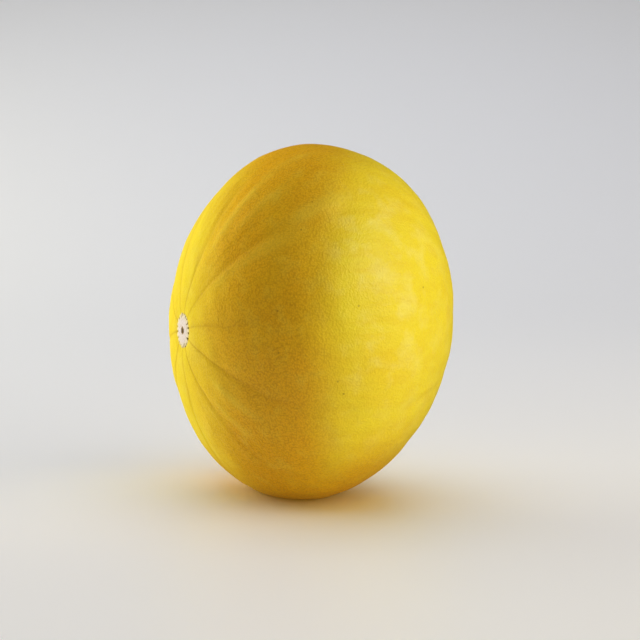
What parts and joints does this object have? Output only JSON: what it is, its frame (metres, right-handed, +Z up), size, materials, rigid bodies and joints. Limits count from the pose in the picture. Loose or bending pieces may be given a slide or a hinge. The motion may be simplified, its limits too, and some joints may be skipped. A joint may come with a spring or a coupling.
{
  "type": "honeydew melon",
  "caption": "Whole yellow honeydew melon, round and a little squat, with faint furrows between a corky blossom scar and a stem scar; stands on a small flat spot.",
  "frame": {"origin": "middle of the flat spot that the melon rests on", "axes": "+X from the blossom scar to the stem scar along the fruit's own axis, +Z up"},
  "size_m": [0.1302, 0.1717, 0.1717],
  "materials": {
    "rind": "satin yellow rind with a fine pebbled grain"
  },
  "bodies": {
    "root": {"melon": "rind"}
  },
  "joints": []
}
